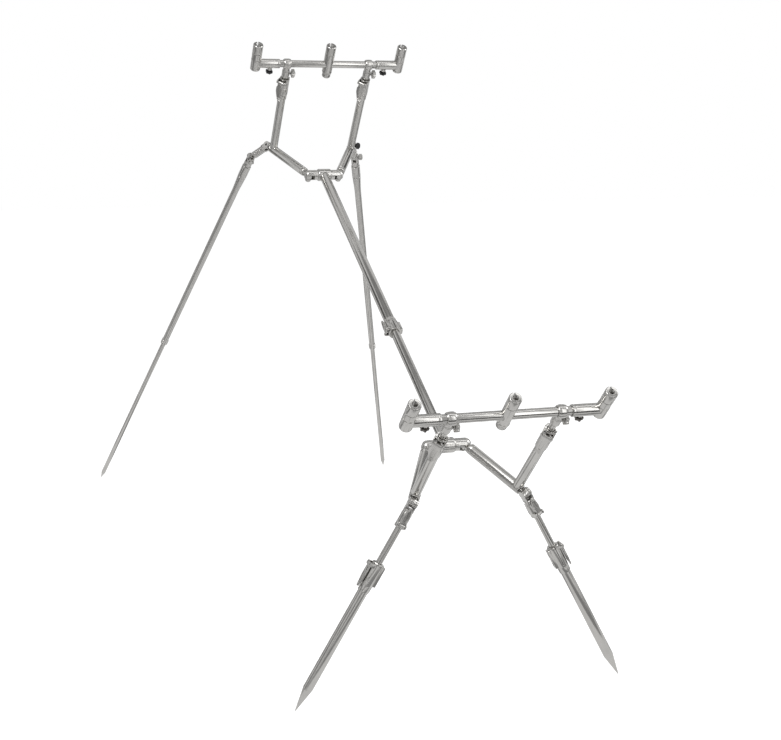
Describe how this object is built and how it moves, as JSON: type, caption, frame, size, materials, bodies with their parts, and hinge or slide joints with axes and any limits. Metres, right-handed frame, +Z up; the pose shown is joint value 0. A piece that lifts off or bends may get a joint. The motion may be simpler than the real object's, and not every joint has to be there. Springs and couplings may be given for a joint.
{
  "type": "rod holder",
  "caption": "Free-standing rod pod: sloping telescopic centre bar, a cross head with arms, uprights, a rod bar with rests and spiked telescopic legs at each end.",
  "frame": {"origin": "centre of the pod's footprint box on the ground", "axes": "+Z up, +Y from the low front rod bar to the high back rod bar, +X to the pod's right"},
  "size_m": [0.86, 2.208, 1.2024],
  "materials": {
    "polished_steel": "polished stainless steel with fine drawn lines along the tubes",
    "pressed_steel": "polished pressed steel, slightly softer",
    "turned_steel": "turned steel",
    "dark_metal": "dark plated metal",
    "black_knob": "black moulded plastic"
  },
  "bodies": {
    "main_outer": {"main_outer_tube": "polished_steel", "main_clamp_collar": "polished_steel", "back_yoke": "polished_steel"},
    "main_inner": {"main_inner_tube": "polished_steel", "front_yoke": "polished_steel"},
    "main_clamp_lever": {"main_clamp_lever": "pressed_steel"},
    "back_left_side_frame": {"back_left_side_frame": "polished_steel"},
    "back_left_post": {"back_left_post": "polished_steel"},
    "back_left_cradle": {"back_left_cradle": "polished_steel"},
    "back_left_upright_lever": {"back_left_upright_lever": "pressed_steel"},
    "back_left_cradle_knob": {"back_left_cradle_knob": "turned_steel"},
    "back_right_side_frame": {"back_right_side_frame": "polished_steel"},
    "back_right_post": {"back_right_post": "polished_steel"},
    "back_right_cradle": {"back_right_cradle": "polished_steel"},
    "back_right_upright_lever": {"back_right_upright_lever": "pressed_steel"},
    "back_right_cradle_knob": {"back_right_cradle_knob": "turned_steel"},
    "back_rod_bar": {"back_rod_bar": "polished_steel"},
    "back_middle_rest": {"back_middle_rest": "polished_steel"},
    "back_middle_nut": {"back_middle_nut": "turned_steel"},
    "back_left_bar_sleeve": {"back_left_bar_sleeve": "polished_steel"},
    "back_left_sleeve_knob": {"back_left_sleeve_knob": "black_knob"},
    "back_left_knuckle": {"back_left_knuckle": "polished_steel"},
    "back_left_leg_tube": {"back_left_leg_tube": "polished_steel"},
    "back_left_leg_spike": {"back_left_leg_spike": "polished_steel"},
    "back_left_knuckle_knob": {"back_left_knuckle_knob": "black_knob"},
    "back_left_leg_knob": {"back_left_leg_knob": "turned_steel"},
    "back_right_bar_sleeve": {"back_right_bar_sleeve": "polished_steel"},
    "back_right_sleeve_knob": {"back_right_sleeve_knob": "black_knob"},
    "back_right_knuckle": {"back_right_knuckle": "polished_steel"},
    "back_right_leg_tube": {"back_right_leg_tube": "polished_steel"},
    "back_right_leg_spike": {"back_right_leg_spike": "polished_steel"},
    "back_right_knuckle_knob": {"back_right_knuckle_knob": "black_knob"},
    "back_right_leg_knob": {"back_right_leg_knob": "turned_steel"},
    "front_left_side_frame": {"front_left_side_frame": "polished_steel"},
    "front_left_post": {"front_left_post": "polished_steel"},
    "front_left_cradle": {"front_left_cradle": "polished_steel"},
    "front_left_upright_lever": {"front_left_upright_lever": "pressed_steel"},
    "front_left_cradle_knob": {"front_left_cradle_knob": "turned_steel"},
    "front_right_side_frame": {"front_right_side_frame": "polished_steel"},
    "front_right_post": {"front_right_post": "polished_steel"},
    "front_right_cradle": {"front_right_cradle": "polished_steel"},
    "front_right_upright_lever": {"front_right_upright_lever": "pressed_steel"},
    "front_right_cradle_knob": {"front_right_cradle_knob": "turned_steel"},
    "front_rod_bar": {"front_rod_bar": "polished_steel"},
    "front_middle_rest": {"front_middle_rest": "polished_steel"},
    "front_middle_nut": {"front_middle_nut": "turned_steel"},
    "front_left_bar_sleeve": {"front_left_bar_sleeve": "polished_steel"},
    "front_left_sleeve_knob": {"front_left_sleeve_knob": "dark_metal"},
    "front_left_leg_clamp": {"front_left_leg_clamp": "polished_steel"},
    "front_left_leg_rod": {"front_left_leg_rod": "polished_steel"},
    "front_left_leg_spike": {"front_left_leg_spike": "polished_steel"},
    "front_left_leg_clamp_lever": {"front_left_leg_clamp_lever": "pressed_steel"},
    "front_left_leg_spike_lever": {"front_left_leg_spike_lever": "pressed_steel"},
    "front_right_bar_sleeve": {"front_right_bar_sleeve": "polished_steel"},
    "front_right_sleeve_knob": {"front_right_sleeve_knob": "dark_metal"},
    "front_right_leg_clamp": {"front_right_leg_clamp": "polished_steel"},
    "front_right_leg_rod": {"front_right_leg_rod": "polished_steel"},
    "front_right_leg_spike": {"front_right_leg_spike": "polished_steel"},
    "front_right_leg_clamp_lever": {"front_right_leg_clamp_lever": "pressed_steel"},
    "front_right_leg_spike_lever": {"front_right_leg_spike_lever": "pressed_steel"}
  },
  "joints": [
    {"name": "main_bar_slide", "type": "slide", "parent": "main_outer", "child": "main_inner", "axis": [0, -0.8652, -0.5015], "range_m": [-0.28, 0.1]},
    {"name": "main_clamp_lever_flip", "type": "hinge", "parent": "main_outer", "child": "main_clamp_lever", "pos_m": [-0.00927, -0.47736, 0.60512], "axis": [0, -0.5015, 0.8652], "range_deg": [0, 110]},
    {"name": "back_left_arm_fold", "type": "hinge", "parent": "main_outer", "child": "back_left_side_frame", "pos_m": [-0.02797, 0.05021, 0.91094], "axis": [0, -0.6441, 0.7649], "range_deg": [-26, 4]},
    {"name": "back_left_upright_lever_flip", "type": "hinge", "parent": "back_left_side_frame", "child": "back_left_upright_lever", "pos_m": [-0.09636, 0.01711, 1.11654], "axis": [-0.766, 0.4917, 0.414], "range_deg": [0, 110]},
    {"name": "back_left_post_slide", "type": "slide", "parent": "back_left_side_frame", "child": "back_left_post", "axis": [0, -0.6441, 0.7649], "range_m": [0, 0.05]},
    {"name": "back_left_cradle_turn", "type": "hinge", "parent": "back_left_post", "child": "back_left_cradle", "pos_m": [-0.08672, -0.00276, 1.15799], "axis": [0, -0.6441, 0.7649], "range_deg": [-4, 26]},
    {"name": "back_left_cradle_knob_turn", "type": "hinge", "parent": "back_left_cradle", "child": "back_left_cradle_knob", "pos_m": [-0.07822, 0.01399, 1.1381], "axis": [1, 0, 0], "continuous": true},
    {"name": "back_right_arm_fold", "type": "hinge", "parent": "main_outer", "child": "back_right_side_frame", "pos_m": [0.04403, 0.05021, 0.91094], "axis": [0, 0.6441, -0.7649], "range_deg": [-26, 4]},
    {"name": "back_right_upright_lever_flip", "type": "hinge", "parent": "back_right_side_frame", "child": "back_right_upright_lever", "pos_m": [0.09313, 0.01711, 1.11654], "axis": [-0.766, 0.4917, 0.414], "range_deg": [0, 110]},
    {"name": "back_right_post_slide", "type": "slide", "parent": "back_right_side_frame", "child": "back_right_post", "axis": [0, -0.6441, 0.7649], "range_m": [0, 0.05]},
    {"name": "back_right_cradle_turn", "type": "hinge", "parent": "back_right_post", "child": "back_right_cradle", "pos_m": [0.10277, -0.00276, 1.15799], "axis": [0, 0.6441, -0.7649], "range_deg": [-4, 26]},
    {"name": "back_right_cradle_knob_turn", "type": "hinge", "parent": "back_right_cradle", "child": "back_right_cradle_knob", "pos_m": [0.11127, 0.01399, 1.1381], "axis": [1, 0, 0], "continuous": true},
    {"name": "back_rod_bar_slide", "type": "slide", "parent": "back_left_cradle", "child": "back_rod_bar", "axis": [1, 0, 0], "range_m": [-0.0551, 0.0089]},
    {"name": "back_middle_rest_tilt", "type": "hinge", "parent": "back_rod_bar", "child": "back_middle_rest", "pos_m": [0.00803, -0.00276, 1.15799], "axis": [1, 0, 0], "range_deg": [-30, 30]},
    {"name": "back_middle_nut_turn", "type": "hinge", "parent": "back_middle_rest", "child": "back_middle_nut", "pos_m": [0.00803, -0.00276, 1.15799], "axis": [0, -0.6441, 0.7649], "continuous": true},
    {"name": "back_left_sleeve_slide", "type": "slide", "parent": "back_rod_bar", "child": "back_left_bar_sleeve", "axis": [-1, 0, 0], "range_m": [0, 0.01]},
    {"name": "back_left_sleeve_knob_turn", "type": "hinge", "parent": "back_left_bar_sleeve", "child": "back_left_sleeve_knob", "pos_m": [-0.12497, 0.00755, 1.14575], "axis": [0, 0.6441, -0.7649], "continuous": true},
    {"name": "back_left_knuckle_swing", "type": "hinge", "parent": "back_left_side_frame", "child": "back_left_knuckle", "pos_m": [-0.09548, 0.16996, 0.98036], "axis": [0.7379, 0.5977, -0.3135], "range_deg": [-45, 90]},
    {"name": "back_left_knuckle_knob_turn", "type": "hinge", "parent": "back_left_knuckle", "child": "back_left_knuckle_knob", "pos_m": [-0.08921, 0.17504, 0.97769], "axis": [0.7379, 0.5977, -0.3135], "continuous": true},
    {"name": "back_left_leg_swing", "type": "hinge", "parent": "back_left_knuckle", "child": "back_left_leg_tube", "pos_m": [-0.13197, 0.20058, 0.95286], "axis": [-0.1204, -0.7389, -0.6629], "range_deg": [-100, 35]},
    {"name": "back_left_leg_knob_turn", "type": "hinge", "parent": "back_left_leg_tube", "child": "back_left_leg_knob", "pos_m": [-0.13299, 0.19429, 0.94722], "axis": [-0.1204, -0.7389, -0.6629], "continuous": true},
    {"name": "back_left_leg_slide", "type": "slide", "parent": "back_left_leg_tube", "child": "back_left_leg_spike", "axis": [-0.2213, 0.671, -0.7077], "range_m": [-0.44, 0.06]},
    {"name": "back_right_sleeve_slide", "type": "slide", "parent": "back_rod_bar", "child": "back_right_bar_sleeve", "axis": [1, 0, 0], "range_m": [0, 0.01]},
    {"name": "back_right_sleeve_knob_turn", "type": "hinge", "parent": "back_right_bar_sleeve", "child": "back_right_sleeve_knob", "pos_m": [0.14103, 0.00755, 1.14575], "axis": [0, 0.6441, -0.7649], "continuous": true},
    {"name": "back_right_knuckle_swing", "type": "hinge", "parent": "back_right_side_frame", "child": "back_right_knuckle", "pos_m": [0.11153, 0.16996, 0.98036], "axis": [0.8908, -0.4426, -0.1028], "range_deg": [-45, 90]},
    {"name": "back_right_knuckle_knob_turn", "type": "hinge", "parent": "back_right_knuckle", "child": "back_right_knuckle_knob", "pos_m": [0.11911, 0.1662, 0.97949], "axis": [0.8908, -0.4426, -0.1028], "continuous": true},
    {"name": "back_right_leg_swing", "type": "hinge", "parent": "back_right_knuckle", "child": "back_right_leg_tube", "pos_m": [0.13015, 0.2138, 0.95286], "axis": [0.9102, -0.4121, -0.041], "range_deg": [-60, 85]},
    {"name": "back_right_leg_knob_turn", "type": "hinge", "parent": "back_right_leg_tube", "child": "back_right_leg_knob", "pos_m": [0.13788, 0.2103, 0.95251], "axis": [0.9102, -0.4121, -0.041], "continuous": true},
    {"name": "back_right_leg_slide", "type": "slide", "parent": "back_right_leg_tube", "child": "back_right_leg_spike", "axis": [0.2392, 0.6041, -0.7602], "range_m": [-0.44, 0.15]},
    {"name": "front_left_arm_fold", "type": "hinge", "parent": "main_inner", "child": "front_left_side_frame", "pos_m": [-0.02797, -0.77601, 0.432], "axis": [0, 0.7385, -0.6743], "range_deg": [-26, 4]},
    {"name": "front_left_upright_lever_flip", "type": "hinge", "parent": "front_left_side_frame", "child": "front_left_upright_lever", "pos_m": [-0.09636, -1.02494, 0.4882], "axis": [-0.766, 0.4334, 0.4747], "range_deg": [0, 110]},
    {"name": "front_left_post_slide", "type": "slide", "parent": "front_left_side_frame", "child": "front_left_post", "axis": [0, -0.7385, 0.6743], "range_m": [-0.015, 0.05]},
    {"name": "front_left_cradle_turn", "type": "hinge", "parent": "front_left_post", "child": "front_left_cradle", "pos_m": [-0.08672, -1.06039, 0.53613], "axis": [0, 0.7385, -0.6743], "range_deg": [-4, 26]},
    {"name": "front_left_cradle_knob_turn", "type": "hinge", "parent": "front_left_cradle", "child": "front_left_cradle_knob", "pos_m": [-0.07822, -1.04119, 0.5186], "axis": [1, 0, 0], "continuous": true},
    {"name": "front_right_arm_fold", "type": "hinge", "parent": "main_inner", "child": "front_right_side_frame", "pos_m": [0.04403, -0.77601, 0.432], "axis": [0, -0.7385, 0.6743], "range_deg": [-26, 4]},
    {"name": "front_right_upright_lever_flip", "type": "hinge", "parent": "front_right_side_frame", "child": "front_right_upright_lever", "pos_m": [0.09313, -1.02494, 0.4882], "axis": [-0.766, 0.4334, 0.4747], "range_deg": [0, 110]},
    {"name": "front_right_post_slide", "type": "slide", "parent": "front_right_side_frame", "child": "front_right_post", "axis": [0, -0.7385, 0.6743], "range_m": [-0.015, 0.05]},
    {"name": "front_right_cradle_turn", "type": "hinge", "parent": "front_right_post", "child": "front_right_cradle", "pos_m": [0.10277, -1.06039, 0.53613], "axis": [0, -0.7385, 0.6743], "range_deg": [-4, 26]},
    {"name": "front_right_cradle_knob_turn", "type": "hinge", "parent": "front_right_cradle", "child": "front_right_cradle_knob", "pos_m": [0.11127, -1.04119, 0.5186], "axis": [1, 0, 0], "continuous": true},
    {"name": "front_rod_bar_slide", "type": "slide", "parent": "front_left_cradle", "child": "front_rod_bar", "axis": [1, 0, 0], "range_m": [-0.0551, 0.0089]},
    {"name": "front_middle_rest_tilt", "type": "hinge", "parent": "front_rod_bar", "child": "front_middle_rest", "pos_m": [0.00803, -1.06039, 0.53613], "axis": [1, 0, 0], "range_deg": [-30, 30]},
    {"name": "front_middle_nut_turn", "type": "hinge", "parent": "front_middle_rest", "child": "front_middle_nut", "pos_m": [0.00803, -1.06039, 0.53613], "axis": [0, -0.7385, 0.6743], "continuous": true},
    {"name": "front_left_sleeve_slide", "type": "slide", "parent": "front_rod_bar", "child": "front_left_bar_sleeve", "axis": [-1, 0, 0], "range_m": [0, 0.01]},
    {"name": "front_left_sleeve_knob_turn", "type": "hinge", "parent": "front_left_bar_sleeve", "child": "front_left_sleeve_knob", "pos_m": [-0.12497, -1.04858, 0.52534], "axis": [0, 0.7385, -0.6743], "continuous": true},
    {"name": "front_left_leg_swing", "type": "hinge", "parent": "front_left_side_frame", "child": "front_left_leg_clamp", "pos_m": [-0.09548, -0.89576, 0.36258], "axis": [0.8476, -0.1908, -0.4951], "range_deg": [-85, 45]},
    {"name": "front_left_leg_clamp_lever_flip", "type": "hinge", "parent": "front_left_leg_clamp", "child": "front_left_leg_clamp_lever", "pos_m": [-0.11849, -0.90438, 0.32652], "axis": [0.8476, -0.1908, -0.4951], "range_deg": [0, 110]},
    {"name": "front_left_leg_rod_slide", "type": "slide", "parent": "front_left_leg_clamp", "child": "front_left_leg_rod", "axis": [-0.4828, 0.1096, -0.8688], "range_m": [0, 0.015]},
    {"name": "front_left_leg_slide", "type": "slide", "parent": "front_left_leg_rod", "child": "front_left_leg_spike", "axis": [-0.4828, 0.1096, -0.8688], "range_m": [-0.07, 0.08]},
    {"name": "front_left_leg_spike_lever_flip", "type": "hinge", "parent": "front_left_leg_spike", "child": "front_left_leg_spike_lever", "pos_m": [-0.16937, -0.88287, 0.26045], "axis": [0, 0.9921, 0.1252], "range_deg": [0, 110]},
    {"name": "front_right_sleeve_slide", "type": "slide", "parent": "front_rod_bar", "child": "front_right_bar_sleeve", "axis": [1, 0, 0], "range_m": [0, 0.01]},
    {"name": "front_right_sleeve_knob_turn", "type": "hinge", "parent": "front_right_bar_sleeve", "child": "front_right_sleeve_knob", "pos_m": [0.14103, -1.04858, 0.52534], "axis": [0, 0.7385, -0.6743], "continuous": true},
    {"name": "front_right_leg_swing", "type": "hinge", "parent": "front_right_side_frame", "child": "front_right_leg_clamp", "pos_m": [0.11153, -0.89576, 0.36258], "axis": [0.8542, 0.2044, 0.4781], "range_deg": [-85, 45]},
    {"name": "front_right_leg_clamp_lever_flip", "type": "hinge", "parent": "front_right_leg_clamp", "child": "front_right_leg_clamp_lever", "pos_m": [0.13413, -0.90667, 0.32688], "axis": [0.8542, 0.2044, 0.4781], "range_deg": [0, 110]},
    {"name": "front_right_leg_rod_slide", "type": "slide", "parent": "front_right_leg_clamp", "child": "front_right_leg_rod", "axis": [0.4776, 0.055, -0.8769], "range_m": [0, 0.015]},
    {"name": "front_right_leg_slide", "type": "slide", "parent": "front_right_leg_rod", "child": "front_right_leg_spike", "axis": [0.4776, 0.055, -0.8769], "range_m": [-0.055, 0.08]},
    {"name": "front_right_leg_spike_lever_flip", "type": "hinge", "parent": "front_right_leg_spike", "child": "front_right_leg_spike_lever", "pos_m": [0.18298, -0.8895, 0.26275], "axis": [0, -0.998, -0.0626], "range_deg": [0, 110]}
  ],
  "couplings": [
    {"joint": "back_right_arm_fold", "follows": "back_left_arm_fold", "ratio": 1},
    {"joint": "back_left_cradle_turn", "follows": "back_left_arm_fold", "ratio": -1},
    {"joint": "back_right_cradle_turn", "follows": "back_left_arm_fold", "ratio": -1},
    {"joint": "back_right_post_slide", "follows": "back_left_post_slide", "ratio": 1},
    {"joint": "back_rod_bar_slide", "follows": "back_left_arm_fold", "m_per_rad": 0.1204},
    {"joint": "front_right_arm_fold", "follows": "front_left_arm_fold", "ratio": 1},
    {"joint": "front_left_cradle_turn", "follows": "front_left_arm_fold", "ratio": -1},
    {"joint": "front_right_cradle_turn", "follows": "front_left_arm_fold", "ratio": -1},
    {"joint": "front_right_post_slide", "follows": "front_left_post_slide", "ratio": 1},
    {"joint": "front_rod_bar_slide", "follows": "front_left_arm_fold", "m_per_rad": 0.1204}
  ]
}
